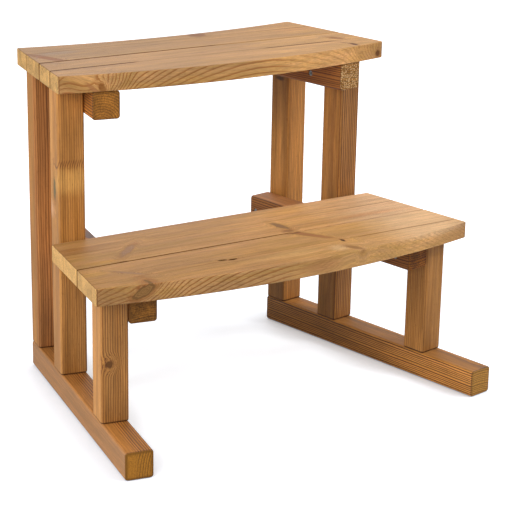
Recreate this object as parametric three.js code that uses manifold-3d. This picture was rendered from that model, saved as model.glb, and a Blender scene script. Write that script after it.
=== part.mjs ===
// A two-step stool of oiled heat-treated pine that stands against the side of a round tub.
// Two side frames splay apart towards the front, like the spokes of a wheel round the tub's centre.
// Each frame has a runner on the floor, three posts on it and two rails inside the posts.
// Two treads of two glued boards each lie across the rails, sawn to arcs, with ends in line with the frames.
// Millimetres, +Z up, front towards -Y; the origin is on the floor under the middle of the whole stool.
import * as THREE from "three";
import { mergeVertices } from "three/addons/utils/BufferGeometryUtils.js";
import Module from "manifold-3d";

const wasm = await Module();
wasm.setup();

// ---- Timber ----
const TIMBER = 45; // side of the square planed timber of the runners, posts and rails
const TIMBER_ROUND = 5; // radius planed along its four edges
const TIMBER_END_EASE = 2; // radius sanded round its sawn ends
const RUNNER_LENGTH = 500;

// ---- Side frames ----
const SPLAY = THREE.MathUtils.degToRad(10); // turn of each frame from the middle line
const FOOT_HALF_WIDTH = 347; // from the middle line to the outer front corner of a runner
const FRONT_POST_SETBACK = 112; // along a runner, from its front end to the front post
const MIDDLE_POST_SETBACK = 324; // along a runner, from its front end to the middle post
const UPPER_RAIL_REACH = 41; // how far an upper rail stands out in front of the middle post
const RAIL_SEAT = 0.3; // fit between a rail and the inner faces of its posts

// ---- Treads ----
const LOWER_RISE = 275; // from the floor to the top of the lower tread
const UPPER_RISE = 275; // from the lower tread to the top of the upper tread
const BOARD_THICKNESS = 28;
const BOARD_GAP = 1.5; // open joint between the two boards of a tread
const BOARD_EASE = 1.5; // radius sanded along a board's upper and lower edges
const BOARD_CORNER = 3; // how far a board's four corners are sanded back
const LOWER_OVERHANG = 16; // of the lower tread past the outer faces of the posts
const UPPER_OVERHANG = 9.5; // of the upper tread past the outer faces of the posts
const LOWER_BACK_FIT = 1; // between the lower tread and the middle posts behind it
const LOWER_REAR_BOARD = 133; // board widths on the middle line
const LOWER_FRONT_BOARD = 133;
const UPPER_REAR_BOARD = 104;
const UPPER_FRONT_BOARD = 137;
const UPPER_BACK_OVERHANG = 20; // of the upper tread's back corners behind the rear posts
const LOWER_FRONT_RADIUS = 1500; // arcs sawn on the treads, all centred behind the stool
const UPPER_FRONT_RADIUS = 1325;
const UPPER_BACK_RADIUS = 1400; // follows the wall of the tub
const ARC_STEPS = 20;
const CORNER_STEPS = 3;

// ---- Countersunk wood screws ----
const SCREW_SHANK = 5; // diameter under the head
const SCREW_HEAD = 9.5; // diameter of the head
const SCREW_HEAD_HEIGHT = 3;
const SCREW_HEAD_RIM = 0.6; // upright edge round the head
const SCREW_POINT = 7; // length of the taper at the tip
const SCREW_CLEARANCE = 0.3; // of a bored hole all round a screw
const SCREW_SIDES = 10;
const CROSS_SCREW = 80; // through a rail into a post
const POST_SCREW = 80; // through a runner into a post
const BOARD_SCREW = 60; // through a rail into a tread board
const CROSS_SCREW_SINK = 0.5; // of a head below the wood
const POST_SCREW_SINK = 3;
const BOARD_SCREW_SINK = 5;
const CROSS_SCREW_BACK = 9; // of a cross screw behind the middle of its post
const CROSS_SCREW_DROP = 4; // of a cross screw below the middle of its rail
const POST_SCREW_PITCH = 22; // between the two screws under a post
const BOARD_SCREW_FROM_JOINT = 22; // along a rail, from the open joint to the nearer screw
const BOARD_SCREW_PITCH = 45; // between the two screws that hold one board on a rail
const SCREW_SPACING = 14; // least distance between screws that pass each other

// ---- Colours and finishes ----
const FINISH = {
  tread: { color: 0xb98a58, roughness: 0.55, metalness: 0 },
  post: { color: 0x9c6b3c, roughness: 0.6, metalness: 0 },
  rail: { color: 0x7e5127, roughness: 0.65, metalness: 0 },
  runner: { color: 0xa8753f, roughness: 0.6, metalness: 0 },
  screw: { color: 0xb9bcc0, roughness: 0.35, metalness: 1 },
};

// ---- Places worked out from the sizes ----
const LOWER_SEAT = LOWER_RISE - BOARD_THICKNESS; // undersides of the treads, where posts and rails end
const UPPER_SEAT = LOWER_RISE + UPPER_RISE - BOARD_THICKNESS;
const REAR_POST_SETBACK = RUNNER_LENGTH - TIMBER;
const UPPER_RAIL_START = MIDDLE_POST_SETBACK - UPPER_RAIL_REACH;
const RAIL_INSET = TIMBER * 1.5 + RAIL_SEAT; // a rail's centre line, inwards from the runner's outer face

// A distance back across the plan of a point on a side frame, from its outer front corner:
// inset is inwards across the runner and along is back along it.
const planDepth = (inset, along) =>
  along * Math.cos(SPLAY) - inset * Math.sin(SPLAY);
const alongAt = (depth, inset) =>
  (depth + inset * Math.sin(SPLAY)) / Math.cos(SPLAY);

// The plan edges of the treads. Each has its depth on the middle line and its radius.
const lowerBack = planDepth(TIMBER, MIDDLE_POST_SETBACK) - LOWER_BACK_FIT;
const lowerJoint = lowerBack - LOWER_REAR_BOARD;
const lowerFront = lowerJoint - BOARD_GAP - LOWER_FRONT_BOARD;
const upperBackCorner = planDepth(0, RUNNER_LENGTH) + UPPER_BACK_OVERHANG;
const upperBackHalfWidth = endX(upperBackCorner, UPPER_OVERHANG);
const upperBack = upperBackCorner - sagitta(UPPER_BACK_RADIUS, upperBackHalfWidth);
const upperJoint = upperBack - UPPER_REAR_BOARD;
const upperFront = upperJoint - BOARD_GAP - UPPER_FRONT_BOARD;

// The runners' inner front corners are the foremost points and the upper tread's back corners the rearmost.
const FRONT_CORNER_Y = -(planDepth(TIMBER, 0) + upperBackCorner) / 2;

// ---- Helpers ----
function sagitta(radius, halfChord) {
  return radius - Math.sqrt(radius ** 2 - halfChord ** 2);
}

// Half the width of a tread at a depth across the plan: its ends run parallel to the side frames.
function endX(depth, overhang) {
  return FOOT_HALF_WIDTH + overhang / Math.cos(SPLAY) - depth * Math.tan(SPLAY);
}

function toSolid(geometry) {
  const bare = geometry.clone();
  bare.deleteAttribute("normal");
  bare.deleteAttribute("uv");
  const merged = mergeVertices(bare, 1e-4);
  return new wasm.Manifold(
    new wasm.Mesh({
      numProp: 3,
      vertProperties: merged.attributes.position.array,
      triVerts: new Uint32Array(merged.index.array),
    }),
  );
}

function toGeometry(solid) {
  const mesh = solid.getMesh();
  const geometry = new THREE.BufferGeometry();
  geometry.setAttribute("position", new THREE.BufferAttribute(mesh.vertProperties, 3));
  geometry.setIndex(new THREE.BufferAttribute(mesh.triVerts, 1));
  geometry.computeVertexNormals();
  return geometry;
}

function piece(name, geometry, finish) {
  const mesh = new THREE.Mesh(geometry, new THREE.MeshStandardMaterial(FINISH[finish]));
  mesh.name = name;
  return mesh;
}

// Extrudes an outline upwards from z = 0, with its two end edges rounded and its full size kept.
function easedExtrusion(outline, height, ease) {
  const geometry = new THREE.ExtrudeGeometry(outline, {
    depth: height - 2 * ease,
    bevelEnabled: true,
    bevelThickness: ease,
    bevelSize: ease,
    bevelOffset: -ease,
    bevelSegments: 2,
    curveSegments: CORNER_STEPS,
  });
  return geometry.translate(0, 0, ease);
}

// A length of planed timber standing on z = 0, with its section centred on the Z axis.
function timber(length) {
  const half = TIMBER / 2;
  const straight = half - TIMBER_ROUND;
  const section = new THREE.Shape();
  section.moveTo(half, -straight);
  section.absarc(straight, straight, TIMBER_ROUND, 0, Math.PI / 2);
  section.absarc(-straight, straight, TIMBER_ROUND, Math.PI / 2, Math.PI);
  section.absarc(-straight, -straight, TIMBER_ROUND, Math.PI, 1.5 * Math.PI);
  section.absarc(straight, -straight, TIMBER_ROUND, 1.5 * Math.PI, 2 * Math.PI);
  return easedExtrusion(section, length, TIMBER_END_EASE);
}

// A wood screw driven along +Y, with the top of its head at y = 0. grow makes the hole that it sits in,
// and shaft lengthens that hole above the head, up to the face of the wood.
function screwBody(length, grow = 0, shaft = 0) {
  const head = SCREW_HEAD / 2 + grow;
  const shank = SCREW_SHANK / 2 + grow;
  const profile = [
    [0, -shaft],
    [head, -shaft],
    [head, SCREW_HEAD_RIM],
    [shank, SCREW_HEAD_HEIGHT + grow],
    [shank, length - SCREW_POINT + grow],
    [0, length + grow],
  ];
  const points = profile.map(([x, y]) => new THREE.Vector2(x, y));
  return new THREE.LatheGeometry(points, SCREW_SIDES);
}

// Where an edge of a tread, an arc of a radius or a straight line, meets the tread's right-hand end.
function edgeCorner(edge, overhang) {
  if (!edge.radius) return new THREE.Vector2(endX(edge.depth, overhang), edge.depth);
  const start = new THREE.Vector2(endX(0, overhang), -edge.depth - edge.radius);
  const along = new THREE.Vector2(-Math.sin(SPLAY), Math.cos(SPLAY));
  const reach = start.dot(along);
  const run = -reach - Math.sqrt(reach ** 2 - start.lengthSq() + edge.radius ** 2);
  return new THREE.Vector2(start.x + run * along.x, run * along.y);
}

// Points along an edge from its left-hand corner to its right-hand one, stopping short of both by trim.
function edgePoints(edge, corner, trim) {
  if (!edge.radius) {
    return [-1, 1].map((side) => new THREE.Vector2(side * (corner.x - trim), edge.depth));
  }
  const swing = Math.asin(corner.x / edge.radius) - trim / edge.radius;
  const down = 1.5 * Math.PI;
  const arc = new THREE.EllipseCurve(
    0, edge.depth + edge.radius, edge.radius, edge.radius, down - swing, down + swing, false, 0,
  );
  return arc.getPoints(ARC_STEPS);
}

// A tread board between two edges, with both ends cut in line with the side frames.
function board(name, front, back, overhang, seat) {
  const frontCorner = edgeCorner(front, overhang);
  const backCorner = edgeCorner(back, overhang);
  const endDirection = backCorner.clone().sub(frontCorner).normalize();
  const nearFront = frontCorner.clone().addScaledVector(endDirection, BOARD_CORNER);
  const nearBack = backCorner.clone().addScaledVector(endDirection, -BOARD_CORNER);
  const mirrored = (v) => new THREE.Vector2(-v.x, v.y);
  const frontEdge = edgePoints(front, frontCorner, BOARD_CORNER);
  const backEdge = edgePoints(back, backCorner, BOARD_CORNER).reverse();
  const rounded = (from, corner, to) =>
    new THREE.QuadraticBezierCurve(from, corner, to).getPoints(CORNER_STEPS);
  const outline = [
    ...frontEdge.slice(1, -1),
    ...rounded(frontEdge.at(-1), frontCorner, nearFront),
    ...rounded(nearBack, backCorner, backEdge[0]),
    ...backEdge.slice(1, -1),
    ...rounded(backEdge.at(-1), mirrored(backCorner), mirrored(nearBack)),
    ...rounded(mirrored(nearFront), mirrored(frontCorner), frontEdge[0]),
  ];
  const geometry = easedExtrusion(new THREE.Shape(outline), BOARD_THICKNESS, BOARD_EASE);
  const mesh = piece(name, geometry, "tread");
  mesh.position.set(0, FRONT_CORNER_Y, seat);
  return mesh;
}

// Bores the hole of a screw in each piece that it passes through.
function drill(screw, ...pieces) {
  screw.updateWorldMatrix(true, false);
  for (const target of pieces) {
    target.updateWorldMatrix(true, false);
    const { length, sink } = screw.userData;
    const hole = screwBody(length, SCREW_CLEARANCE, sink + 1);
    hole.applyMatrix4(target.matrixWorld.clone().invert().multiply(screw.matrixWorld));
    target.geometry = toGeometry(toSolid(target.geometry).subtract(toSolid(hole)));
  }
}

function screwMesh(name, length, sink) {
  const mesh = piece(name, screwBody(length), "screw");
  mesh.userData = { length, sink };
  return mesh;
}

// ---- Treads ----
const stool = new THREE.Group();
const straight = (depth) => ({ depth, radius: 0 });
const treads = {
  lower: {
    joint: lowerJoint,
    seat: LOWER_SEAT,
    front: board(
      "lower_tread_front_board",
      { depth: lowerFront, radius: LOWER_FRONT_RADIUS },
      straight(lowerJoint - BOARD_GAP),
      LOWER_OVERHANG,
      LOWER_SEAT,
    ),
    rear: board(
      "lower_tread_rear_board", straight(lowerJoint), straight(lowerBack), LOWER_OVERHANG, LOWER_SEAT,
    ),
  },
  upper: {
    joint: upperJoint,
    seat: UPPER_SEAT,
    front: board(
      "upper_tread_front_board",
      { depth: upperFront, radius: UPPER_FRONT_RADIUS },
      straight(upperJoint - BOARD_GAP),
      UPPER_OVERHANG,
      UPPER_SEAT,
    ),
    rear: board(
      "upper_tread_rear_board",
      straight(upperJoint),
      { depth: upperBack, radius: UPPER_BACK_RADIUS },
      UPPER_OVERHANG,
      UPPER_SEAT,
    ),
  },
};
for (const tread of Object.values(treads)) stool.add(tread.front, tread.rear);

// ---- Side frames ----
// In a frame's group X runs outwards from the runner's outer face on the right-hand frame and
// inwards on the left-hand one, so an inset is always taken against the frame's own side.
function sideFrame(name, side) {
  const frame = new THREE.Group();
  frame.position.set(side * FOOT_HALF_WIDTH, FRONT_CORNER_Y, 0);
  frame.rotation.z = side * SPLAY;
  stool.add(frame);

  const standing = (part, along, height) => {
    const mesh = piece(`${name}_${part}`, timber(height - TIMBER), "post");
    mesh.position.set((-side * TIMBER) / 2, along + TIMBER / 2, TIMBER);
    frame.add(mesh);
    return mesh;
  };
  const lying = (part, inset, start, centreHeight, finish) => {
    const mesh = piece(`${name}_${part}`, timber(RUNNER_LENGTH - start), finish);
    mesh.rotation.x = -Math.PI / 2;
    mesh.position.set(-side * inset, start, centreHeight);
    frame.add(mesh);
    return mesh;
  };
  const runner = lying("runner", TIMBER / 2, 0, TIMBER / 2, "runner");
  const posts = {
    front: { mesh: standing("front_post", FRONT_POST_SETBACK, LOWER_SEAT), along: FRONT_POST_SETBACK },
    middle: { mesh: standing("middle_post", MIDDLE_POST_SETBACK, UPPER_SEAT), along: MIDDLE_POST_SETBACK },
    rear: { mesh: standing("rear_post", REAR_POST_SETBACK, UPPER_SEAT), along: REAR_POST_SETBACK },
  };
  const rails = {
    lower: {
      mesh: lying("lower_rail", RAIL_INSET, FRONT_POST_SETBACK, LOWER_SEAT - TIMBER / 2, "rail"),
      crosses: ["front", "middle", "rear"],
    },
    upper: {
      mesh: lying("upper_rail", RAIL_INSET, UPPER_RAIL_START, UPPER_SEAT - TIMBER / 2, "rail"),
      crosses: ["middle", "rear"],
    },
  };

  // Two screws up through the runner into the foot of each post.
  for (const [place, post] of Object.entries(posts)) {
    [-1, 1].forEach((end, i) => {
      const screw = screwMesh(`${name}_${place}_post_screw_${i + 1}`, POST_SCREW, POST_SCREW_SINK);
      screw.rotation.x = Math.PI / 2;
      screw.position.set(
        (-side * TIMBER) / 2, post.along + TIMBER / 2 + (end * POST_SCREW_PITCH) / 2, POST_SCREW_SINK,
      );
      frame.add(screw);
      drill(screw, runner, post.mesh);
    });
  }

  for (const [level, rail] of Object.entries(rails)) {
    const tread = treads[level];

    // One screw outwards through the rail into each post that it crosses.
    const crossings = rail.crosses.map(
      (place) => posts[place].along + TIMBER / 2 + CROSS_SCREW_BACK,
    );
    crossings.forEach((along, i) => {
      const place = rail.crosses[i];
      const screw = screwMesh(`${name}_${level}_rail_screw_${place}`, CROSS_SCREW, CROSS_SCREW_SINK);
      screw.rotation.z = (-side * Math.PI) / 2;
      const headInset = RAIL_INSET + TIMBER / 2 - CROSS_SCREW_SINK;
      screw.position.set(-side * headInset, along, tread.seat - TIMBER / 2 - CROSS_SCREW_DROP);
      frame.add(screw);
      drill(screw, rail.mesh, posts[place].mesh);
    });

    // Two screws up through the rail into each board of its tread, clear of the cross screws.
    const clearOfCrossings = (along) => {
      const near = crossings.find((c) => Math.abs(along - c) < SCREW_SPACING);
      if (near === undefined) return along;
      return near + (along < near ? -SCREW_SPACING : SCREW_SPACING);
    };
    const joint = alongAt(tread.joint - BOARD_GAP / 2, RAIL_INSET);
    for (const [place, way] of [["front", -1], ["rear", 1]]) {
      [0, 1].forEach((i) => {
        const along = clearOfCrossings(joint + way * (BOARD_SCREW_FROM_JOINT + i * BOARD_SCREW_PITCH));
        const screw = screwMesh(
          `${name}_${level}_${place}_board_screw_${i + 1}`, BOARD_SCREW, BOARD_SCREW_SINK,
        );
        screw.rotation.x = Math.PI / 2;
        screw.position.set(-side * RAIL_INSET, along, tread.seat - TIMBER + BOARD_SCREW_SINK);
        frame.add(screw);
        drill(screw, rail.mesh, tread[place]);
      });
    }
  }
}
sideFrame("left", -1);
sideFrame("right", 1);

export default stool;
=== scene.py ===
import functools
import math

import bmesh
import bpy
from mathutils import Matrix, Vector


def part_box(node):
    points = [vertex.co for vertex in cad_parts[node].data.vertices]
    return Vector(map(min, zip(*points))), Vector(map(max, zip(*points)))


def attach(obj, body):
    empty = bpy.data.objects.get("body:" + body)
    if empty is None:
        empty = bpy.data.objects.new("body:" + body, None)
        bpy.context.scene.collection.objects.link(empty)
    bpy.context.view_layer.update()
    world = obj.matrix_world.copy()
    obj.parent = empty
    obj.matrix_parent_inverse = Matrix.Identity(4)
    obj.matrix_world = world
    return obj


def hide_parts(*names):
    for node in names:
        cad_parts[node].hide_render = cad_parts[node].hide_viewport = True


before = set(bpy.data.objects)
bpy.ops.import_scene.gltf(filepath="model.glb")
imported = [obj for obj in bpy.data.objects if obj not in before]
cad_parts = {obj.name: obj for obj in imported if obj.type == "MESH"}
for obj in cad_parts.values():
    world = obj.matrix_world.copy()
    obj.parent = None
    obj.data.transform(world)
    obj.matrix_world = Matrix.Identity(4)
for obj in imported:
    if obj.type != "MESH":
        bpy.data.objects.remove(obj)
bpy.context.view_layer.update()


# ---- Runners ----
# Two lengths of 45 mm square pine on the floor, splayed apart to the front like spokes of a wheel.
# Heat-treated pine, planed with rounded edges, sawn to length, sanded at the ends and oiled.
# The posts stand on them, held by screws that come up from counterbores in the underside.
TIMBER = 45.0
SPLAY = math.radians(10)
SIDES = {"left": -SPLAY, "right": SPLAY}
OIL_FRAME = (TIMBER / 2 - 6, TIMBER / 2 - 2)  # mm from the middle of an end: where it starts, and is full
TREE_STEP = 613.0  # mm of trunk between two pieces
STAVE_JUMP = (911, 7, 23)  # mm in the tree between the two staves of a board
KNOT_RINGS = 22.0  # radians of ring phase from a knot's heart to its rim
BURNT = 0.4  # how much of the end tone is left in its rings and its frame
SHINE = 0.35  # specular level of an oiled face


def linear(code):
    """The linear colour of an sRGB hex code."""
    levels = [int(code[i : i + 2], 16) / 255 for i in (1, 3, 5)]
    return tuple(v / 12.92 if v <= 0.04045 else ((v + 0.055) / 1.055) ** 2.4 for v in levels)


def node(tree, kind, inputs=None, **settings):
    """Adds a shader node. inputs maps the name or number of a shown input to a value, a node or an output."""
    made = tree.nodes.new("ShaderNode" + kind)
    for name, value in settings.items():
        setattr(made, name, value)
    shown = [socket for socket in made.inputs if socket.enabled]
    for key, value in (inputs or {}).items():
        socket = shown[key] if isinstance(key, int) else next(s for s in shown if s.name == key)
        if isinstance(value, bpy.types.Node):
            value = next(output for output in value.outputs if output.enabled)
        if isinstance(value, bpy.types.NodeSocket):
            tree.links.new(value, socket)
        elif socket.type == "RGBA":
            socket.default_value = (*value[:3], 1)
        else:
            socket.default_value = value
    return made


def knot(at, size, core, **more):
    """A knot for a log: its place and half sizes in mm, the hex colour of its core, and what more it has."""
    return {"at": at, "size": size, "core": core, **more}


def stain_and_painted_light(at, size, tone, weight, **more):
    """A stain, or a patch of painted light or shade, for a log: its place and half sizes in mm, its hex
    colour, and how strong it is.
    """
    return {"at": at, "size": size, "tone": tone, "weight": weight, **more}


def pine(name, to_grain, log, tones):
    """Oiled heat-treated pine with lined and plain faces, knots and darker sawn ends.
    to_grain turns the part frame so that x runs along the grain, in metres. tones are hex colours: pale
    wood, a second shade of it, dark latewood, and the sawn ends. log describes one piece, in mm:
    - pith is its place across the piece, ring the width of a year ring, seed the stretch of tree, and
      lean, drift and uneven say how far the pith slants and wanders, and how much the years differ;
    - bold is the strength of the rings. plain pales them on faces cut flat, with sheen for how pale such
      a face is and grey_reflection for the painted grey reflection on it. fade and lulls weaken them across
      and along the piece;
    - joint is where two staves meet, lines are dark glue joints and the painted shade of an open joint,
      and dips are bends of the rings;
    - knots and stains_and_painted_light have a place, a size, a colour and a weight; most of the latter are
      stains in the wood, some painted shadow and highlight. A knot's halo, swell, curl, soft, rim, rings and
      shine say how it bends the grain and how it looks. A stain's teeth follow the rings;
    - cloud and veins are uneven tone; bright is a level that runs along the piece, partly uneven tone and
      partly painted light and shade; y_painted_light and z_painted_light are (place, level) stops of painted
      light and shade for the faces across the grain's y and z. tones replaces the tones of the group;
    - torn, mottle, end_level, end_rings, flecks and frame shape a sawn end, the flecks as painted glints;
      arris darkens its edge, partly as painted shade, and foot paints the shade where the piece stands on
      another."""
    material = bpy.data.materials.new(name)
    material.use_nodes = True
    tree = material.node_tree
    tree.nodes.clear()
    add = functools.partial(node, tree)
    smooth = functools.partial(add, "MapRange", interpolation_type="SMOOTHSTEP")
    pale, shade, late, end = map(linear, log.get("tones", tones))
    ring = log["ring"]
    drift = log.get("drift", 5.0)
    pith = Vector((0, *log["pith"]))
    outwards = -pith.normalized()
    joint = log.get("joint")

    # Millimetres in the piece, x along the grain.
    place = add("TexCoord")
    grain = add(
        "Mapping",
        {
            "Vector": place.outputs["Object"],
            "Location": to_grain.translation * 1000,
            "Rotation": to_grain.to_euler(),
            "Scale": (1000, 1000, 1000),
        },
    )

    def along_grain(vector, length, width, **settings):
        """Noise drawn out along the grain: length and width of its patches in mm."""
        squeezed = add("VectorMath", {0: vector, 1: (1 / length, 1 / width, 1 / width)}, operation="MULTIPLY")
        return add("TexNoise", {"Vector": squeezed, "Scale": 1, **settings})

    # The grain parts round a knot, curls close to it, and the rings swell over it.
    curl = along_grain(grain, 6, 3, Detail=2)
    curl = add("MapRange", {"Value": curl, "From Min": 0.25, "From Max": 0.75, "To Min": -1, "To Max": 1})
    bent = grain
    discs = []
    for branch in log.get("knots", ()):
        inside = add(
            "Mapping",
            {
                "Vector": grain,
                "Location": branch["at"],
                "Rotation": (0, branch.get("tip", 0), branch.get("turn", 0)),
                "Scale": branch["size"],
            },
            vector_type="TEXTURE",
        )
        rough = add("TexNoise", {"Vector": inside, "Scale": 1.4, "Detail": 3})
        reach = add("VectorMath", {0: inside}, operation="LENGTH")
        reach = add("Math", {0: rough, 1: 1.0, 2: reach}, operation="MULTIPLY_ADD")
        reach = add("Math", {0: reach, 1: 0.5}, operation="SUBTRACT")
        discs.append((reach, branch))
        swell = branch.get("swell", 3.0)
        if not swell:
            continue
        pull = add(
            "MapRange",
            {"Value": reach, "From Min": 0.4, "From Max": branch.get("halo", 3.2), "To Min": 1, "To Max": 0},
            interpolation_type="SMOOTHERSTEP",
        )
        swell = add("Math", {0: curl, 1: branch.get("curl", 1.0), 2: swell}, operation="MULTIPLY_ADD")
        away = add("VectorMath", {0: grain, 1: branch["at"]}, operation="SUBTRACT")
        away = add("VectorMath", {0: away, 1: (0, 0.85, 0.3)}, operation="MULTIPLY")
        lift = add("VectorMath", {0: outwards, "Scale": swell}, operation="SCALE")
        away = add("VectorMath", {0: away, 1: lift}, operation="ADD")
        away = add("VectorMath", {0: away, "Scale": pull}, operation="SCALE")
        bent = add("VectorMath", {0: bent, 1: away}, operation="SUBTRACT")

    # Over a wider stretch round a branch the rings dip or rise.
    for dip in log.get("dips", ()):
        inside = {"Vector": grain, "Location": dip["at"], "Scale": dip["size"]}
        inside = add("Mapping", inside, vector_type="TEXTURE")
        reach = add("VectorMath", {0: inside}, operation="LENGTH")
        depth = {"Value": reach, "To Min": dip["swell"], "To Max": 0}
        depth = add("MapRange", depth, interpolation_type="SMOOTHERSTEP")
        lift = add("VectorMath", {0: outwards, "Scale": depth}, operation="SCALE")
        bent = add("VectorMath", {0: bent, 1: lift}, operation="SUBTRACT")

    # Each stave of a glued board comes from another part of the tree.
    spot = add("SeparateXYZ", {0: grain})
    if joint is not None:
        behind = add("Math", {0: spot.outputs["Y"], 1: joint}, operation="GREATER_THAN")
        other = add("VectorMath", {0: STAVE_JUMP, "Scale": behind}, operation="SCALE")
        bent = add("VectorMath", {0: bent, 1: other}, operation="ADD")
    trunk = add("VectorMath", {0: bent, 1: (TREE_STEP * log["seed"], 0, 0)}, operation="ADD")

    # Year rings: distance from the pith, which wanders slowly along the tree. The rings' edges are
    # a little ragged, and good and poor years come in runs.
    slow = along_grain(trunk, 240, 130, Detail=1)
    slow = add(
        "VectorMath",
        {0: slow.outputs["Color"], 1: (0, 2 * drift, 2 * drift), 2: -pith - Vector((0, drift, drift))},
        operation="MULTIPLY_ADD",
    )
    across = add("VectorMath", {0: trunk, 1: slow}, operation="ADD")
    slant = (0, -log.get("lean", 0.0), 0)
    lean = add("VectorMath", {0: slant, "Scale": spot.outputs["X"]}, operation="SCALE")
    across = add("VectorMath", {0: across, 1: lean}, operation="ADD")
    across = add("VectorMath", {0: across, 1: (0, 1, 1)}, operation="MULTIPLY")
    radius = add("VectorMath", {0: across}, operation="LENGTH")
    ragged = along_grain(trunk, 60, 12, Detail=2)
    radius = add("Math", {0: ragged, 1: 0.4 * ring, 2: radius}, operation="MULTIPLY_ADD")
    ragged = along_grain(trunk, 25, 3, Detail=2)
    radius = add("Math", {0: ragged, 1: 0.1 * ring, 2: radius}, operation="MULTIPLY_ADD")
    years = add("Math", {0: radius, 1: ring}, operation="DIVIDE")
    season = add("TexNoise", {"W": years, "Scale": 0.37, "Detail": 1}, noise_dimensions="1D")
    uneven = log.get("uneven", 1.4)
    years = add("Math", {0: season, 1: uneven, 2: years}, operation="MULTIPLY_ADD")
    year = add("Math", {0: years}, operation="FLOOR")
    part = add("Math", {0: years}, operation="FRACT")
    strength = add("TexWhiteNoise", {"W": year}, noise_dimensions="1D")
    bold = log.get("bold", 1.0)
    strength = add("MapRange", {"Value": strength, "To Min": bold * (1 - 0.3 * uneven), "To Max": bold})
    runs = add("TexNoise", {"W": years, "Scale": 0.11, "Detail": 2}, noise_dimensions="1D")
    runs = add(
        "MapRange",
        {
            "Value": runs,
            "From Min": 0.35,
            "From Max": 0.65,
            "To Min": 1 - 0.32 * uneven,
            "To Max": 1 + 0.11 * uneven,
        },
    )
    rise = smooth({"Value": part, "From Min": 0.5, "From Max": 0.95})
    fall = smooth({"Value": part, "From Min": 0.96, "From Max": 1.0, "To Min": 1, "To Max": 0})
    band = add("Math", {0: rise, 1: fall}, operation="MULTIPLY")
    band = add("Math", {0: band, 1: strength}, operation="MULTIPLY")
    band = add("Math", {0: band, 1: runs}, operation="MULTIPLY")

    # A face cut flat across the rings shows few of their lines and is paler.
    flat = to_grain.to_3x3().inverted() @ outwards
    flat = add("VectorMath", {0: place.outputs["Normal"], 1: flat}, operation="DOT_PRODUCT")
    flat = add("Math", {0: flat}, operation="ABSOLUTE")
    flat = smooth({"Value": flat, "From Min": 0.6, "From Max": 0.97})
    plain = log.get("plain", 0.0)
    lined = add("Math", {0: flat, 1: -plain, 2: 1}, operation="MULTIPLY_ADD")
    paler = add("Math", {0: flat, 1: plain * log.get("sheen", 0.25), 2: 1}, operation="MULTIPLY_ADD")
    if "fade" in log:
        sapwood = {"From Min": log["fade"][0], "From Max": log["fade"][1], "To Min": 1, "To Max": 0.12}
        sapwood = smooth({"Value": spot.outputs["Y"], **sapwood})
        lined = add("Math", {0: lined, 1: sapwood}, operation="MULTIPLY")
    for centre, reach, depth in log.get("lulls", ()):
        lull = add("Math", {0: spot.outputs["X"], 1: centre}, operation="SUBTRACT")
        lull = add("Math", {0: lull}, operation="ABSOLUTE")
        lull = {"Value": lull, "From Min": 0.4 * reach, "From Max": reach, "To Min": 1 - depth, "To Max": 1}
        lull = smooth(lull)
        lined = add("Math", {0: lined, 1: lull}, operation="MULTIPLY")
    band = add("Math", {0: band, 1: lined}, operation="MULTIPLY")

    # Streaks of warmer and greyer wood, 5 to 20 mm wide and a few hundred long, then dark latewood,
    # broad clouds of oil, and veins a few mm wide.
    streak = along_grain(trunk, 260, 13, Detail=4, Roughness=0.6)
    streak = add("MapRange", {"Value": streak, "From Min": 0.36, "From Max": 0.64})
    colour = add("Mix", {"Factor": streak, "A": pale, "B": shade}, data_type="RGBA")
    # Stains in the wood, and patches of painted shadow and highlight, go into the base colour.
    for mark in log.get("stains_and_painted_light", ()):
        toothed = add("VectorMath", {0: (mark.get("teeth", 0.0), 0, 0), "Scale": part}, operation="SCALE")
        toothed = add("VectorMath", {0: grain, 1: toothed}, operation="ADD")
        inside = {"Location": mark["at"], "Scale": mark["size"], "Rotation": (0, 0, mark.get("turn", 0))}
        inside = add("Mapping", {"Vector": toothed, **inside}, vector_type="TEXTURE")
        rough = add("TexNoise", {"Vector": inside, "Scale": 1.4, "Detail": 3})
        reach = add("VectorMath", {0: inside}, operation="LENGTH")
        reach = add("Math", {0: rough, 1: 0.8, 2: reach}, operation="MULTIPLY_ADD")
        amount = {"Value": reach, "From Min": 0.8, "From Max": 1.9, "To Min": mark["weight"], "To Max": 0}
        amount = smooth(amount)
        colour = add("Mix", {"Factor": amount, "A": colour, "B": linear(mark["tone"])}, data_type="RGBA")
    colour = add("Mix", {"Factor": band, "A": colour, "B": late}, data_type="RGBA")
    cloud = along_grain(trunk, 170, 32, Detail=3)
    spread = log.get("cloud", 0.14)
    cloud = add(
        "MapRange",
        {"Value": cloud, "From Min": 0.32, "From Max": 0.68, "To Min": 1 - spread, "To Max": 1 + spread},
    )
    vein_width, vein_depth = log.get("veins", (4.5, 0.1))
    vein = along_grain(trunk, 150, vein_width, Detail=2)
    vein = add(
        "MapRange",
        {
            "Value": vein,
            "From Min": 0.3,
            "From Max": 0.7,
            "To Min": 1 - vein_depth,
            "To Max": 1 + vein_depth,
        },
    )
    level = add("Math", {0: cloud, 1: vein}, operation="MULTIPLY")
    level = add("Math", {0: level, 1: paler}, operation="MULTIPLY")

    # Fibres and the fine dark dashes of resin canals. Real ones are far finer than 1 mm: they are
    # drawn that coarse because they would not show otherwise.
    fibre = along_grain(trunk, 42, 1.1, Detail=4, Roughness=0.65)
    canal = along_grain(trunk, 9, 0.9, Detail=0)
    canal = add("MapRange", {"Value": canal, "From Min": 0.68, "From Max": 0.76, "To Max": 0.35})
    colour = add("Mix", {"Factor": canal, "A": colour, "B": late}, data_type="RGBA")
    shading = {"Value": fibre, "From Min": 0.25, "From Max": 0.75, "To Min": 0.66, "To Max": 1.33}
    shading = add("MapRange", shading)
    level = add("Math", {0: level, 1: shading}, operation="MULTIPLY")
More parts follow.
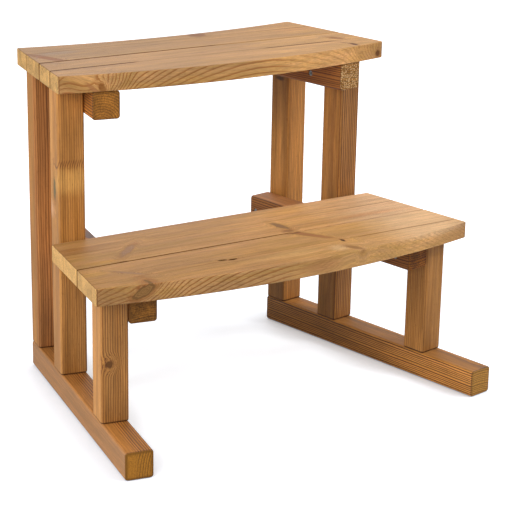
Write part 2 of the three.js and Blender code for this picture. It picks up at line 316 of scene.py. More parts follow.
    # Painted light and shade, partly uneven tone: the level runs from first to last along the piece.
    first, last = log.get("bright", (1.0, 1.0))
    run = {"Value": spot.outputs["X"], "From Min": -300, "From Max": 300, "To Min": first, "To Max": last}
    run = add("MapRange", run)
    level = add("Math", {0: level, 1: run}, operation="MULTIPLY")
    # Painted light and shade: each pair of faces is made darker or paler in stretches, as the light falls
    # on it, given as (mm along the piece, level) stops.
    for key, across_face in (("y_painted_light", Vector((0, 1, 0))), ("z_painted_light", Vector((0, 0, 1)))):
        if key not in log:
            continue
        painted_level = log[key][0][1] - 1
        for (start, low), (stop, high) in zip(log[key], log[key][1:]):
            step = {"From Min": start, "From Max": stop, "To Max": high - low}
            step = add("MapRange", {"Value": spot.outputs["X"], **step})
            painted_level = add("Math", {0: step, 1: painted_level}, operation="ADD")
        looks = to_grain.to_3x3().inverted() @ across_face
        looks = add("VectorMath", {0: place.outputs["Normal"], 1: looks}, operation="DOT_PRODUCT")
        looks = add("Math", {0: looks}, operation="ABSOLUTE")
        looks = smooth({"Value": looks, "From Min": 0.6, "From Max": 0.9})
        painted_level = add("Math", {0: looks, 1: painted_level, 2: 1}, operation="MULTIPLY_ADD")
        level = add("Math", {0: level, 1: painted_level}, operation="MULTIPLY")
    colour = add("VectorMath", {0: colour, "Scale": level}, operation="SCALE")
    # Painted reflection: faces cut flat are mixed towards a pale grey, as the white room they reflect.
    grey_reflection = add("Math", {0: flat, 1: log.get("grey_reflection", 0.0)}, operation="MULTIPLY")
    colour = add("Mix", {"Factor": grey_reflection, "A": colour, "B": linear("#bdbdaa")}, data_type="RGBA")

    # Knots: a core with its own fine rings, a dark rim, and darker wood close round it. Where the cut
    # only grazes a branch, weight is low and the knot is a soft smudge.
    dulled = []
    for reach, branch in discs:
        core = linear(branch["core"])
        weight = branch.get("weight", 1.0)
        soft = branch.get("soft", 0.06)
        rim = branch.get("rim", 0.7)
        near = smooth(
            {"Value": reach, "From Min": 1.0, "From Max": 2.0, "To Min": 0.6 * weight * rim, "To Max": 0}
        )
        colour = add("Mix", {"Factor": near, "A": colour, "B": late}, data_type="RGBA")
        turns = add("Math", {0: reach, 1: KNOT_RINGS}, operation="MULTIPLY")
        turns = add("Math", {0: turns}, operation="SINE")
        grown = branch.get("rings", 0.1)
        turns = {"Value": turns, "From Min": -1, "From Max": 1, "To Min": 1 - grown, "To Max": 1.05}
        turns = add("MapRange", turns)
        heart = add("VectorMath", {0: core, "Scale": turns}, operation="SCALE")
        edge = smooth({"Value": reach, "From Min": 0.7, "From Max": 0.98, "To Max": rim * weight})
        heart = add("Mix", {"Factor": edge, "A": heart, "B": [c * 0.35 for c in core]}, data_type="RGBA")
        disc = smooth(
            {"Value": reach, "From Min": 1 - soft, "From Max": 1 + soft, "To Min": weight, "To Max": 0}
        )
        colour = add("Mix", {"Factor": disc, "A": colour, "B": heart}, data_type="RGBA")
        dulled.append((disc, branch.get("shine", 0.5)))

    # Sawn ends drink more oil: they take the end tone, with the rings still showing through it.
    # A coarse saw leaves torn fibres; the light they catch is painted as pale flecks.
    axis = to_grain.to_3x3().inverted() @ Vector((1, 0, 0))
    facing = add("VectorMath", {0: place.outputs["Normal"], 1: axis}, operation="DOT_PRODUCT")
    facing = add("Math", {0: facing}, operation="ABSOLUTE")
    sawn = smooth({"Value": facing, "From Min": 0.55, "From Max": 0.9})
    torn = log.get("torn", 0.22)
    pore = add("TexNoise", {"Vector": trunk, "Scale": 0.45, "Detail": 3, "Roughness": 0.7})
    pore = {"Value": pore, "From Min": 0.35, "From Max": 0.65, "To Min": 1 - torn, "To Max": 1 + torn}
    pore = add("MapRange", pore)
    ringed = add("Math", {0: band, 1: log.get("end_rings", 1.0)}, operation="MULTIPLY")
    ends = add("Mix", {"Factor": ringed, "A": end, "B": [c * BURNT for c in end]}, data_type="RGBA")
    ends = add("VectorMath", {0: ends, "Scale": pore}, operation="SCALE")
    mottle = log.get("mottle", 0.0)
    patch = add("TexNoise", {"Vector": trunk, "Scale": 0.055, "Detail": 2})
    patch = add(
        "MapRange",
        {"Value": patch, "From Min": 0.35, "From Max": 0.65, "To Min": 1 - mottle, "To Max": 1 + mottle},
    )
    patch = add("Math", {0: patch, 1: log.get("end_level", 1.0)}, operation="MULTIPLY")
    ends = add("VectorMath", {0: ends, "Scale": patch}, operation="SCALE")
    # Painted glints: pale flecks where the torn fibres catch the light.
    if "flecks" in log:
        fleck = add("TexNoise", {"Vector": trunk, "Scale": 0.48, "Detail": 2})
        fleck = smooth({"Value": fleck, "From Min": 0.5, "From Max": 0.6, "To Max": log["flecks"]})
        ends = add("Mix", {"Factor": fleck, "A": ends, "B": linear("#dcb680")}, data_type="RGBA")
    if "frame" in log:
        # Oil stays along the edges of the end and leaves a darker frame round it.
        sides = add("VectorMath", {0: grain}, operation="ABSOLUTE")
        sides = add("SeparateXYZ", {0: sides})
        sides = add("Math", {0: sides.outputs["Y"], 1: sides.outputs["Z"]}, operation="MAXIMUM")
        starts, full = OIL_FRAME
        sides = smooth({"Value": sides, "From Min": starts, "From Max": full, "To Max": log["frame"]})
        ends = add("Mix", {"Factor": sides, "A": ends, "B": [c * BURNT for c in end]}, data_type="RGBA")
    colour = add("Mix", {"Factor": sawn, "A": colour, "B": ends}, data_type="RGBA")
    dulled.append((sawn, 0.5))

    # The arris of a sawn end is a dark line, partly oil and sanding dust in the cut fibres and partly
    # painted shade, as in the seam where a post stands on its runner.
    apart = smooth({"Value": facing, "From Min": 0.12, "From Max": 0.35})
    past = smooth(
        {"Value": facing, "From Min": 0.5, "From Max": 0.85, "To Min": log.get("arris", 0.8), "To Max": 0}
    )
    arris = add("Math", {0: apart, 1: past}, operation="MULTIPLY")
    colour = add("Mix", {"Factor": arris, "A": colour, "B": [c * 0.45 for c in late]}, data_type="RGBA")

    # Glue joints are dark hairlines, drawn wide enough to show; each runs across the whole piece and is
    # darkest between two ends, where it has opened. The open joint between two boards is drawn the same way,
    # as painted shade down in the gap.
    for line in log.get("lines", ()):
        start, stop = line["from"]
        length = (stop - start) / 2
        off = add("Math", {0: spot.outputs["Y"], 1: line["at"]}, operation="SUBTRACT")
        off = add("Math", {0: off}, operation="ABSOLUTE")
        wide = line.get("wide", 1.2)
        wide = add("MapRange", {"Value": sawn, "To Min": wide, "To Max": line.get("end_wide", wide)})
        hair = add("Math", {0: off, 1: wide}, operation="DIVIDE")
        hair = smooth({"Value": hair, "From Min": 0.4, "From Max": 1.0, "To Min": 1, "To Max": 0})
        run = add("Math", {0: spot.outputs["X"], 1: start + length}, operation="SUBTRACT")
        run = add("Math", {0: run}, operation="ABSOLUTE")
        run = smooth(
            {
                "Value": run,
                "From Min": length - 12,
                "From Max": length + 4,
                "To Min": line["dark"],
                "To Max": line.get("faint", 0.25),
            }
        )
        hair = add("Math", {0: hair, 1: run}, operation="MULTIPLY")
        tone = linear(line.get("tone", "#54331a"))
        colour = add("Mix", {"Factor": hair, "A": colour, "B": tone}, data_type="RGBA")
        dulled.append((hair, 0.1))

    if "foot" in log:
        # Painted shade: a dark line where the piece stands on another, as the shadow in the seam there.
        foot = {"From Min": log["foot"] + 1.2, "From Max": log["foot"] + 3.6, "To Min": 0.9, "To Max": 0}
        foot = smooth({"Value": spot.outputs["X"], **foot})
        colour = add("Mix", {"Factor": foot, "A": colour, "B": [c * 0.3 for c in late]}, data_type="RGBA")

    relief = add("Math", {0: fibre, 1: 0.5, 2: band}, operation="MULTIPLY_ADD")
    bump = add("Bump", {"Strength": 0.4, "Distance": 0.0002, "Height": relief})
    gloss = add("MapRange", {"Value": relief, "To Min": 0.64, "To Max": 0.5})

    # Knots, sawn ends and the dark joints drink the oil and shine less.
    shine = SHINE
    for mask, left in dulled:
        kept = add("MapRange", {"Value": mask, "To Min": 1, "To Max": left})
        shine = add("Math", {0: shine, 1: kept}, operation="MULTIPLY")
    surface = add(
        "BsdfPrincipled",
        {"Base Color": colour, "Roughness": gloss, "IOR": 1.5, "Specular IOR Level": shine, "Normal": bump},
    )
    add("OutputMaterial", {"Surface": surface})
    return material


def across_and_along(turn, origin):
    """Turns the part frame for a lying timber: x along it, y to the left and z up, from its middle."""
    return Matrix.Rotation(-math.pi / 2 - turn, 4, "Z") @ Matrix.Translation(-origin)


def upright(turn, origin):
    """Turns the part frame for a post: x up it, y backwards and z to the left, from its middle."""
    return Matrix.Rotation(math.pi / 2, 4, "Y") @ Matrix.Rotation(-turn, 4, "Z") @ Matrix.Translation(-origin)


def carried_shape(name):
    """A new bmesh with a CAD node's shape, its loose triangles joined and its flat faces made whole."""
    shape = bmesh.new()
    shape.from_mesh(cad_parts[name].data)
    bmesh.ops.remove_doubles(shape, verts=shape.verts, dist=1e-5)
    bmesh.ops.dissolve_limit(
        shape, angle_limit=math.radians(0.3), verts=shape.verts, edges=shape.edges, delimit=set()
    )
    return shape


def finished(name, shape, material, sharp=60):
    """Makes a bmesh the visible piece that stands for the CAD node of that name."""
    mesh = bpy.data.meshes.new(f"{name}_piece")
    shape.to_mesh(mesh)
    shape.free()
    mesh.materials.append(material)
    mesh.shade_smooth()
    mesh.set_sharp_from_angle(angle=math.radians(sharp))
    piece = bpy.data.objects.new(f"{name}_piece", mesh)
    bpy.context.scene.collection.objects.link(piece)
    weighted = piece.modifiers.new("even shading", "WEIGHTED_NORMAL")
    weighted.keep_sharp = True
    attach(piece, "root")
    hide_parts(name)
    return piece


RUNNER_TONES = ("#aa7038", "#99632d", "#5a3010", "#a0672b")
RUNNER_LOGS = {
    "left_runner": {
        "pith": (-130, -20),
        "ring": 4.0,
        "seed": 1,
        "tones": ("#aa7036", "#996329", "#5a300c", "#ab7124"),
        "end_rings": 0.5,
        "z_painted_light": ((-200, 1.0), (0, 1.1), (100, 1.1), (190, 0.85)),
        "y_painted_light": ((-150, 0.97), (-50, 0.94)),
        "drift": 2,
        "uneven": 0.5,
        "bold": 2.7,
        "fade": (-2, 8),
        "plain": 0.8,
        "sheen": 0.0,
        "grey_reflection": 0.1,
        "cloud": 0.08,
        "bright": (1.06, 1.06),
        "frame": 0.8,
        "end_level": 0.95,
    },
    "right_runner": {
        "pith": (12, -140),
        "ring": 3.7,
        "seed": 2,
        "end_rings": 0.8,
        "z_painted_light": ((-200, 0.87), (-50, 0.9), (0, 0.8), (120, 0.83)),
        "y_painted_light": ((-155, 1.65), (-105, 1.43), (-35, 1.0), (100, 0.66)),
        "drift": 2,
        "uneven": 0.7,
        "bold": 2.3,
        "tones": ("#bc7f3d", "#aa7231", "#43200a", "#b07c34"),
        "plain": 0.7,
        "sheen": 0.0,
        "bright": (0.9, 1.05),
        "arris": 0.9,
        "frame": 0.4,
        "end_level": 1.08,
    },
}
for side, turn in SIDES.items():
    name = f"{side}_runner"
    low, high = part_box(name)
    material = pine(
        f"planed oiled pine of the {side} runner",
        across_and_along(turn, (low + high) / 2),
        RUNNER_LOGS[name],
        RUNNER_TONES,
    )
    finished(name, carried_shape(name), material)


# ---- Posts ----
# Three posts stand on each runner: a short one under the lower tread and two tall ones under the upper.
# The same pine, with straight grain; their front faces are cut across the year rings, so they are lined.
# Each is held by two screws from below and by one or two through the rails.
POST_TONES = ("#b47c3d", "#a06a2d", "#65350f", "#85531f")
POST_LOGS = {
    "left_front_post": {
        "pith": (20, 190),
        "ring": 3.8,
        "seed": 11,
        "y_painted_light": ((-85, 0.78), (-50, 0.95), (100, 0.98)),
        "drift": 2,
        "uneven": 0.5,
        "bold": 1.2,
        "plain": 0.85,
        "sheen": 0.32,
        "grey_reflection": 0.05,
        "knots": (knot((-4, -22, 9), (5, 6, 5), "#6b4420", curl=2.5, swell=7, halo=5, soft=0.3, rings=0.2),),
    },
    "left_middle_post": {
        "pith": (-14, -200),
        "ring": 3.9,
        "seed": 12,
        "z_painted_light": ((60, 0.95), (140, 1.1), (200, 1.2)),
        "y_painted_light": ((-200, 0.94), (-130, 1.08), (120, 1.03), (200, 1.45)),
        "drift": 2,
        "uneven": 0.9,
        "bold": 0.9,
        "plain": 0.7,
        "grey_reflection": 0.05,
        "knots": (
            knot((74, -3, 22), (18, 6, 6), "#6c6448", curl=1.5, swell=6, weight=0.9, soft=0.3, rim=0.3),
        ),
        "stains_and_painted_light": (
            stain_and_painted_light((92, -22, -6), (20, 30, 40), "#d09a50", 0.75, teeth=6),
            stain_and_painted_light((122, -22, -4), (2, 30, 60), "#5c300e", 0.8, teeth=13),
            stain_and_painted_light((38, 22, 20), (16, 22, 8), "#d8a884", 0.5),
        ),
    },
    "left_rear_post": {
        "pith": (10, 180),
        "ring": 4.2,
        "seed": 13,
        "z_painted_light": ((0, 0.9),),
        "y_painted_light": ((-190, 0.72), (-120, 1.12), (-40, 1.05), (60, 0.96), (120, 0.87)),
        "drift": 3,
        "uneven": 0.8,
        "bold": 1.05,
        "plain": 0.4,
        "sheen": 0.1,
        "stains_and_painted_light": (stain_and_painted_light((0, -22, 0), (500, 14, 30), "#b2703a", 0.8),),
    },
    "right_front_post": {
        "pith": (-150, -60),
        "ring": 3.4,
        "seed": 14,
        "z_painted_light": ((-80, 1.16), (-45, 1.0), (0, 0.87), (40, 0.84)),
        "y_painted_light": ((-85, 0.85), (-60, 0.98), (0, 0.95), (55, 0.87)),
        "drift": 3,
        "uneven": 0.9,
        "bold": 0.95,
        "plain": 0.8,
        "sheen": 0.0,
        "bright": (1.1, 1.1),
    },
    "right_middle_post": {
        "pith": (16, 190),
        "ring": 4.2,
        "seed": 15,
        "z_painted_light": ((-200, 0.58), (-50, 0.78), (60, 1.1), (160, 1.2)),
        "y_painted_light": ((-200, 1.03), (0, 1.0), (80, 0.88)),
        "drift": 2,
        "uneven": 0.6,
        "bold": 2.4,
        "plain": 0.8,
        "sheen": 0.15,
        "bright": (0.86, 0.9),
    },
    "right_rear_post": {
        "pith": (-30, 190),
        "ring": 3.8,
        "seed": 16,
        "z_painted_light": ((-210, 0.46), (0, 0.98), (60, 0.95), (160, 0.68)),
        "y_painted_light": ((-200, 1.05), (60, 1.08), (105, 1.0)),
        "drift": 3,
        "uneven": 0.8,
        "bright": (1.25, 1.3),
        "plain": 0.8,
        "sheen": 0.0,
        # Painted shadow: a dark patch under the rear end of the upper rail.
        "stains_and_painted_light": (stain_and_painted_light((177, 0, 22), (4, 10, 8), "#2a160a", 0.8),),
    },
}
for side, turn in SIDES.items():
    for level in ("front", "middle", "rear"):
        name = f"{side}_{level}_post"
        low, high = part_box(name)
        foot = (low.z - high.z) / 2 * 1000
        material = pine(
            f"planed oiled pine of the {side} {level} post",
            upright(turn, (low + high) / 2),
            {**POST_LOGS[name], "foot": foot},
            POST_TONES,
        )
        finished(name, carried_shape(name), material)


# ---- Rails ----
# A rail lies along the inner faces of the posts at each level and carries the tread across the stool.
# The same pine in a darker, rougher sort, because the treads shade and cover it.
# One screw goes through it into each post, and two go up through it into each tread board.
RAIL_TONES = ("#a2652a", "#925922", "#4f290a", "#946024")
RAIL_LOGS = {
    "left_lower_rail": {
        "pith": (-10, -150),
        "ring": 3.2,
        "seed": 21,
        "bold": 1.3,
        "torn": 0.5,
        "end_level": 0.82,
        "mottle": 0.25,
        "frame": 0.5,
    },
    "left_upper_rail": {
        "pith": (8, -30),
        "ring": 4.0,
        "seed": 22,
        "y_painted_light": ((-85, 1.3), (-55, 1.1)),
        "drift": 2,
        "bold": 2.5,
        "uneven": 0.6,
        "torn": 0.4,
        "end_level": 1.08,
        "mottle": 0.2,
        "end_rings": 0.4,
        "frame": 0.4,
    },
    "right_lower_rail": {
        "pith": (0, 150),
        "ring": 4.2,
        "seed": 23,
        "z_painted_light": ((0, 1.1),),
        "tones": ("#a2652a", "#925922", "#4f290a", "#9a5a18"),
        "bold": 1.9,
        "uneven": 0.6,
        "plain": 0.85,
        "sheen": 0.5,
        "grey_reflection": 0.07,
        "bright": (0.9, 0.9),
        "torn": 0.5,
        "mottle": 0.3,
        "end_level": 0.7,
        "arris": 0.5,
        "frame": 0.0,
    },
    "right_upper_rail": {
        "pith": (-15, 150),
        "ring": 4.2,
        "seed": 24,
        "y_painted_light": ((0, 1.2),),
        "bold": 1.7,
        "uneven": 1.0,
        "torn": 0.5,
        "flecks": 0.75,
        "end_level": 0.85,
        "arris": 0.6,
    },
}
for side, turn in SIDES.items():
    for level in ("lower", "upper"):
        name = f"{side}_{level}_rail"
        low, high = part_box(name)
        material = pine(
            f"planed oiled pine of the {side} {level} rail",
            across_and_along(turn, (low + high) / 2),
            RAIL_LOGS[name],
            RAIL_TONES,
        )
        finished(name, carried_shape(name), material)


# ---- Treads ----
# Each tread is two boards with an open joint between them, and each board is glued from two staves.
# Paler pine, cut so that the rings stand upright in the board: the tops are lined and the sawn arc
# of the front edge cuts through them in fans and arches. Sanded, with the edges just eased.
TREAD_TONES = ("#be8e58", "#b08446", "#874c16", "#c1965a")
GLUE_GROOVE = 0.0003
STAVE_LINE = {"tone": "#7b4f25", "end_wide": 2.5}
# Painted shade: the open joint between the boards is a dark line, as the shade down in the gap.
LOWER_GAP_LINE = {
    "at": -75.8,
    "from": (-400, 60),
    "dark": 0.85,
    "wide": 2.6,
    "tone": "#482608",
    "end_wide": 3.2,
}
UPPER_GAP_LINE = {
    "at": 130.1,
    "from": (-400, 40),
    "dark": 0.9,
    "wide": 3.0,
    "tone": "#522a0a",
    "end_wide": 3.2,
}
BOARDS = {
    "lower_tread_front_board": {
        "joint": -147.6,
        "veins": (6, 0.12),
        "cloud": 0.15,
        "bright": (0.94, 1.14),
        "pith": (330, 428),
        "ring": 2.2,
        "lean": 0.01,
        "drift": 1.5,
        "uneven": 0.6,
        "bold": 1.1,
        "mottle": 0.15,
        "end_level": 1.18,
        "seed": 31,
        "z_painted_light": ((-160, 0.95), (20, 0.97), (240, 1.03)),
        "y_painted_light": ((-277, 1.0), (-186, 0.9), (-15, 0.94), (110, 1.04), (280, 1.14)),
        "lulls": ((60, 110, 0.8), (240, 170, 0.75)),
        "dips": (
            {"at": (-277, -186, 262), "size": (85, 70, 60), "swell": 7},
            {"at": (105, -205, 262), "size": (110, 70, 60), "swell": -12},
        ),
        "lines": (
            {"at": -147.6, "from": (135, 340), "dark": 0.75, "wide": 2.2, **STAVE_LINE},
            LOWER_GAP_LINE,
        ),
        "knots": (
            knot(
                (-276, -186, 263), (20, 34, 7.5), "#946c3c",
                tip=-0.56, swell=6, weight=0.9, soft=0.12, rim=1.0, rings=0.4, halo=2.2,
            ),
            knot((-268, -128, 275), (22, 3, 8), "#94745c", turn=-0.74, weight=0.75, soft=0.5, rim=0.2),
            knot((-115, -143.5, 275), (8, 2.0, 8), "#2a160a", turn=-0.3, soft=0.12, swell=5, shine=0.0),
            knot((-99, -148, 275), (8, 2.4, 8), "#200f06", turn=0.0, soft=0.12, swell=5, shine=0.0),
            knot(
                (78, -102, 275), (42, 7, 10), "#94603c",
                turn=-0.98, weight=0.75, soft=0.4, swell=9, rim=0.5,
            ),
            knot((60, -80, 275), (14, 4, 9), "#69452a", weight=0.6, soft=0.5, swell=0),
            knot((107, -151, 275), (3, 6, 8), "#3c200c", soft=0.25, swell=5),
            knot((101, -190, 275), (6, 16, 12), "#8a6238", turn=0.5, weight=0.75, soft=0.4, swell=7, rim=0.5),
        ),
        "stains_and_painted_light": (
            # Painted highlight: the right end of the top is paler and greyer, where the light falls on it.
            stain_and_painted_light((280, -130, 275), (80, 200, 9), "#d6b898", 0.35),
            stain_and_painted_light((28, -208, 262), (36, 12, 12), "#9a6638", 0.55),
            stain_and_painted_light((-20, -170, 275), (70, 14, 9), "#d0a468", 0.5),
            stain_and_painted_light((80, -180, 275), (16, 14, 9), "#cfa878", 0.7),
            stain_and_painted_light((-320, -110, 275), (26, 10, 9), "#c89848", 0.6),
        ),
    },
    "lower_tread_rear_board": {
        "joint": -6.3,
        "veins": (6, 0.12),
        "cloud": 0.12,
        "bright": (0.94, 1.18),
        "pith": (-360, 300),
        "ring": 2.2,
        "drift": 3,
        "bold": 1.2,
        "mottle": 0.12,
        "end_level": 1.32,
        "seed": 32,
        "z_painted_light": ((-230, 0.93), (-60, 0.94), (75, 1.08), (260, 1.1)),
        "lines": (
            {"at": -6.3, "from": (190, 340), "dark": 0.7, "wide": 2.0, **STAVE_LINE},
            LOWER_GAP_LINE,
        ),
        "knots": (
            knot(
                (-219, -28, 275), (32, 6, 18), "#957258",
                turn=0.76, weight=0.75, soft=0.35, rim=0.6, rings=0.2, swell=5,
            ),
            knot((-252, -76, 275), (8, 3, 10), "#5a3418", weight=0.8, soft=0.4, swell=1),
            knot((62, -36, 275), (7, 20, 14), "#7c5a3c", turn=0.2, weight=0.85, soft=0.3, swell=9, rim=0.4),
            knot((58, -66, 275), (10, 6, 9), "#6f4828", weight=0.55, soft=0.5, swell=0),
        ),
        "stains_and_painted_light": (
            # Painted highlight: the right end of the top is paler and greyer, where the light falls on it.
            stain_and_painted_light((280, -10, 275), (110, 200, 9), "#d2b496", 0.4),
            stain_and_painted_light((230, -50, 275), (60, 9, 9), "#b07a48", 0.5),
            stain_and_painted_light((-280, -62, 275), (30, 7, 9), "#c8943c", 0.7),
            stain_and_painted_light((-300, 10, 275), (60, 16, 9), "#a8703a", 0.5),
        ),
    },
    "upper_tread_front_board": {
        "joint": 69.5,
        "veins": (7, 0.14),
        "cloud": 0.14,
        "bright": (0.95, 1.03),
        "pith": (350, 640),
        "ring": 2.5,
        "lean": 0.0355,
        "drift": 1.5,
        "uneven": 0.6,
        "bold": 1.05,
        "mottle": 0.25,
        "end_level": 1.06,
        "seed": 33,
        "z_painted_light": ((-220, 0.89), (-100, 0.93), (-50, 0.98), (110, 1.0), (200, 1.08)),
        "y_painted_light": ((-250, 1.29), (-150, 0.9), (-50, 1.0), (105, 1.25), (220, 1.3), (280, 1.24)),
        "lulls": ((150, 90, 0.5), (255, 70, 0.45)),
        "dips": (
            {"at": (-243, 15, 530), "size": (75, 70, 60), "swell": 18},
            {"at": (320, 30, 532), "size": (130, 70, 60), "swell": 20},
        ),
        "lines": (
            {
                "at": 69.5,
                "from": (-330, -143),
                "dark": 1.0,
                "wide": 3.2,
                "tone": "#4a2406",
                "end_wide": 2.5,
            },
            {"at": 69.5, "from": (90, 240), "dark": 0.9, "wide": 2.8, "faint": 0.0},
            UPPER_GAP_LINE,
        ),
        "knots": (
            knot((-238, 14, 527), (5, 30, 8), "#84501f", tip=-0.5, swell=6, weight=0.75, soft=0.3, curl=1.5),
            knot((-254, 14, 528), (14, 30, 3.5), "#a46c44", tip=0.7, swell=0, weight=0.7, soft=0.4, rim=0.3),
            knot((-280, 112, 550), (13, 15, 12), "#a07850", weight=0.6, soft=0.5, rim=0.2),
            knot((252, 90, 550), (16, 8, 12), "#845022", turn=-1.0, weight=0.75, soft=0.4, rim=0.3),
            knot((248, 30, 550), (4, 9, 8), "#4a2204", weight=1.0, soft=0.35, swell=2),
            knot((243, 44, 550), (2, 14, 8), "#5f3a18", turn=0.5, weight=0.7, swell=0),
            knot((295, 27, 531), (5, 12, 5), "#5c3618", weight=0.9, soft=0.3, swell=3),
        ),
    },
    "upper_tread_rear_board": {
        "joint": 201.6,
        "veins": (7, 0.14),
        "cloud": 0.14,
        "bright": (0.88, 0.96),
        "pith": (-350, 500),
        "ring": 2.4,
        "bold": 1.2,
        "mottle": 0.2,
        "end_level": 1.09,
        "seed": 34,
        "z_painted_light": ((-240, 0.85), (-50, 0.86), (70, 0.99), (230, 1.09)),
        "lines": (
            {"at": 201.6, "from": (-340, -200), "dark": 0.6, "wide": 2.0, **STAVE_LINE},
            {"at": 201.6, "from": (160, 270), "dark": 0.6, "wide": 2.0, "tone": "#7b4f25", "faint": 0.0},
            UPPER_GAP_LINE,
        ),
        "knots": (
            knot(
                (-259, 163, 550), (38, 8, 10), "#875026",
                turn=-1.22, weight=0.85, soft=0.35, rim=0.6, swell=6,
            ),
            knot((54, 222, 550), (16, 15, 14), "#7c4c28", weight=0.8, soft=0.35, swell=6, rim=0.4),
        ),
        "stains_and_painted_light": (
            stain_and_painted_light((-230, 190, 550), (40, 14, 9), "#a08468", 0.6),
            stain_and_painted_light((250, 190, 550), (50, 10, 9), "#c88c50", 0.5),
        ),
    },
}
for name, board in BOARDS.items():
    shape = carried_shape(name)
    joint = board["joint"] / 1000
    cut = bmesh.ops.bisect_plane(
        shape,
        geom=[*shape.verts, *shape.edges, *shape.faces],
        dist=1e-7,
        plane_co=(0, joint, 0),
        plane_no=(0, 1, 0),
    )
    seam = [e for e in cut["geom_cut"] if isinstance(e, bmesh.types.BMEdge)]
    bmesh.ops.bevel(
        shape, geom=seam, offset=GLUE_GROOVE, segments=2, profile=0.5, affect="EDGES", material=-1
    )
    shape.normal_update()
    for vert in shape.verts:
        if abs(vert.co.y - joint) < 1e-6:
            vert.co -= vert.normal * GLUE_GROOVE
    material = pine(
        f"sanded oiled pine of the {name.replace('_', ' ')}",
        Matrix.Identity(4),
        board,
        TREAD_TONES,
    )
    finished(name, shape, material)


# ---- Screws ----
# Thirty-eight countersunk wood screws of zinc-plated steel with a six-lobed recess.
# Their heads sit just under the wood on the rails' inner faces, and deeper in the counterbores below.
SCREW_HEAD = 4.75
SCREW_RIM = 0.6
SCREW_CONE = 3.0
SCREW_SHANK = 2.5
SCREW_POINT = 7.0
SCREW_TIP = 0.3
RECESS = 2.3
RECESS_DEPTH = 2.0
RECESS_LOBES = 6
LOBE_HEIGHT = 0.14
TURNS = 24


def zinc_plate():
    """Bright zinc over steel: a plain grey metal with faint blotches and fine grit in its gloss."""
    material = bpy.data.materials.new("bright zinc-plated steel")
    material.use_nodes = True
    tree = material.node_tree
    tree.nodes.clear()
    add = functools.partial(node, tree)
    place = add("TexCoord")
    cloud = add("TexNoise", {"Vector": place.outputs["Object"], "Scale": 420, "Detail": 3})
    colour = add("Mix", {"Factor": cloud, "A": linear("#77756f"), "B": linear("#a19f98")}, data_type="RGBA")
    grit = add("TexNoise", {"Vector": place.outputs["Object"], "Scale": 2600, "Detail": 2})
    gloss = add("MapRange", {"Value": grit, "To Min": 0.24, "To Max": 0.46})
    bump = add("Bump", {"Strength": 0.15, "Distance": 0.00005, "Height": grit})
    surface = add(
        "BsdfPrincipled",
        {"Base Color": colour, "Metallic": 1.0, "Roughness": gloss, "Normal": bump},
    )
    add("OutputMaterial", {"Surface": surface})
    return material


def screw_shape(length, place):
    """A screw with its head's face at the origin, driven along +Z, moved to its place. Sizes in mm."""
    shape = bmesh.new()
    profile = [
        (SCREW_HEAD, 0),
        (SCREW_HEAD, SCREW_RIM),
        (SCREW_SHANK, SCREW_CONE),
        (SCREW_SHANK, length - SCREW_POINT),
        (SCREW_TIP, length),
    ]
    points = [shape.verts.new((x, 0, z)) for x, z in profile]
    line = [shape.edges.new(pair) for pair in zip(points, points[1:])]
    bmesh.ops.spin(
        shape,
        geom=points + line,
        cent=(0, 0, 0),
        axis=(0, 0, 1),
        angle=2 * math.pi,
        steps=TURNS,
        use_merge=True,
        use_duplicate=False,
    )
    bmesh.ops.remove_doubles(shape, verts=shape.verts, dist=1e-4)
    bmesh.ops.holes_fill(shape, edges=[e for e in shape.edges if e.is_boundary], sides=TURNS + 1)
    head = max(
        (f for f in shape.faces if all(abs(v.co.z) < 1e-4 for v in f.verts)), key=lambda f: len(f.verts)
    )
    bmesh.ops.inset_region(shape, faces=[head], thickness=SCREW_HEAD - RECESS, use_even_offset=True)
    for vert in head.verts:
        lobe = 1 + LOBE_HEIGHT * math.cos(RECESS_LOBES * math.atan2(vert.co.y, vert.co.x))
        vert.co.x *= lobe
        vert.co.y *= lobe
    wall = bmesh.ops.extrude_face_region(shape, geom=[head])
    bmesh.ops.delete(shape, geom=[head], context="FACES_ONLY")
    floor_verts = [v for v in wall["geom"] if isinstance(v, bmesh.types.BMVert)]
    bmesh.ops.translate(shape, vec=(0, 0, RECESS_DEPTH), verts=floor_verts)
    bmesh.ops.recalc_face_normals(shape, faces=shape.faces)
    bmesh.ops.transform(shape, matrix=place @ Matrix.Diagonal((0.001, 0.001, 0.001, 1)), verts=shape.verts)
    return shape


zinc = zinc_plate()
for name in sorted(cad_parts):
    if "_screw_" not in name:
        continue
    low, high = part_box(name)
    middle = (low + high) / 2
    side = name.split("_")[0]
    if "_rail_screw_" in name:
        # Driven outwards across the frame.
        way = Matrix.Rotation(SIDES[side], 4, "Z") @ Vector((-1 if side == "left" else 1, 0, 0))
    else:
        way = Vector((0, 0, 1))
    points = [v.co.dot(way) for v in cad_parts[name].data.vertices]
    length = (max(points) - min(points)) * 1000
    start = middle + way * (min(points) - middle.dot(way))
    place = Matrix.Translation(start) @ way.to_track_quat("Z", "Y").to_matrix().to_4x4()
    finished(name, screw_shape(length, place), zinc, sharp=25)


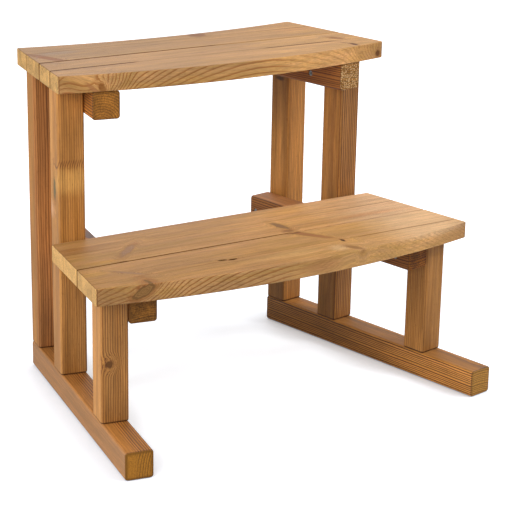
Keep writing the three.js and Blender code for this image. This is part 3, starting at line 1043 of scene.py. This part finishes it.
# ---- Floor ----
# A plain white studio floor that glows for the camera, more with distance, so that it falls away to
# white and keeps only the soft shadows close to the wood.
FLOOR_SIZE = 14.0
FLOOR_DROP = 0.0004
floor_shape = bmesh.new()
bmesh.ops.create_grid(floor_shape, x_segments=2, y_segments=2, size=FLOOR_SIZE / 2)
bmesh.ops.translate(floor_shape, vec=(0, 0, -FLOOR_DROP), verts=floor_shape.verts)
floor_mesh = bpy.data.meshes.new("studio_floor")
floor_shape.to_mesh(floor_mesh)
floor_shape.free()
floor = bpy.data.objects.new("studio_floor", floor_mesh)
bpy.context.scene.collection.objects.link(floor)
paper = bpy.data.materials.new("matt white paper")
paper.use_nodes = True
paper.node_tree.nodes.clear()
add = functools.partial(node, paper.node_tree)
path = add("LightPath")
matt = add("BsdfDiffuse", {"Color": linear("#d4dae4")})
spot = add("TexCoord")
away = add("VectorMath", {0: spot.outputs["Object"]}, operation="LENGTH")
away = add(
    "MapRange",
    {"Value": away, "From Min": 0.5, "From Max": 1.6, "To Min": 0.66, "To Max": 1.0},
    interpolation_type="SMOOTHSTEP",
)
# Painted shade: close to the wood the floor's glow is dimmed by ambient occlusion, as a soft contact shadow.
contact_shade = add("AmbientOcclusion", {"Distance": 0.06}, samples=16)
away = add("Math", {0: away, 1: contact_shade.outputs["AO"]}, operation="MULTIPLY")
glow = add("Emission", {"Color": (1, 1, 1), "Strength": away})
none = add("Emission", {"Color": (0, 0, 0), "Strength": 0})
lift = add("MixShader", {0: path.outputs["Is Camera Ray"], 1: none, 2: glow})
both = add("AddShader", {0: matt, 1: lift})
add("OutputMaterial", {"Surface": both})
floor_mesh.materials.append(paper)


# ---- Studio ----
# Large soft lights low on the left, at the front left, high at the front right and on the right,
# a weak one behind, and a little even light all round.
WORLD_LEVEL = 0.12
LAMP_AIM = Vector((0, 0, 0.25))
LAMPS = {
    "low left": {"from": (-2.90, 0.0, 1.60), "size": 1.6, "power": 54},
    "front left": {"from": (-2.22, -1.86, 1.60), "size": 1.6, "power": 43},
    "high front right": {"from": (1.68, -1.68, 2.39), "size": 1.6, "power": 53},
    "right": {"from": (2.77, 0.0, 1.85), "size": 1.6, "power": 34},
    "rear": {"from": (0.8, 2.4, 2.4), "size": 1.6, "power": 20},
}
for name, lamp in LAMPS.items():
    light = bpy.data.lights.new(name, "AREA")
    light.shape = "DISK"
    light.size = lamp["size"]
    light.energy = lamp["power"]
    source = bpy.data.objects.new(name, light)
    source.location = lamp["from"]
    aim = LAMP_AIM - source.location
    source.rotation_euler = aim.to_track_quat("-Z", "Y").to_euler()
    bpy.context.scene.collection.objects.link(source)

world = bpy.data.worlds.new("white studio")
world.use_nodes = True
world.node_tree.nodes.clear()
add = functools.partial(node, world.node_tree)
path = add("LightPath")
seen = add("Math", {0: path.outputs["Is Camera Ray"], 1: path.outputs["Is Glossy Ray"]}, operation="MAXIMUM")
seen = add("Math", {0: seen, 1: path.outputs["Is Transmission Ray"]}, operation="MAXIMUM")
soft = add("Background", {"Color": (1, 1, 1), "Strength": WORLD_LEVEL})
white = add("Background", {"Color": (1, 1, 1), "Strength": 1.0})
mixed = add("MixShader", {0: seen, 1: soft, 2: white})
add("OutputWorld", {"Surface": mixed})
bpy.context.scene.world = world


# ---- Camera ----
# A long lens at the front left, a little above the upper tread.
CAMERA_PLACE = (-1.4482, -2.2899, 1.1030)
CAMERA_YAW = 0.5786
CAMERA_PITCH = -0.3145
CAMERA_ROLL = 0.0194
SENSOR = 36.0
LENS = 119.14
lens = bpy.data.cameras.new("camera")
lens.sensor_width = SENSOR
lens.lens = LENS
camera = bpy.data.objects.new("camera", lens)
turned = (
    Matrix.Rotation(-CAMERA_YAW, 4, "Z")
    @ Matrix.Rotation(math.pi / 2 + CAMERA_PITCH, 4, "X")
    @ Matrix.Rotation(CAMERA_ROLL, 4, "Z")
)
camera.matrix_world = Matrix.Translation(CAMERA_PLACE) @ turned
bpy.context.scene.collection.objects.link(camera)
bpy.context.scene.camera = camera
bpy.context.scene.view_settings.view_transform = "Standard"
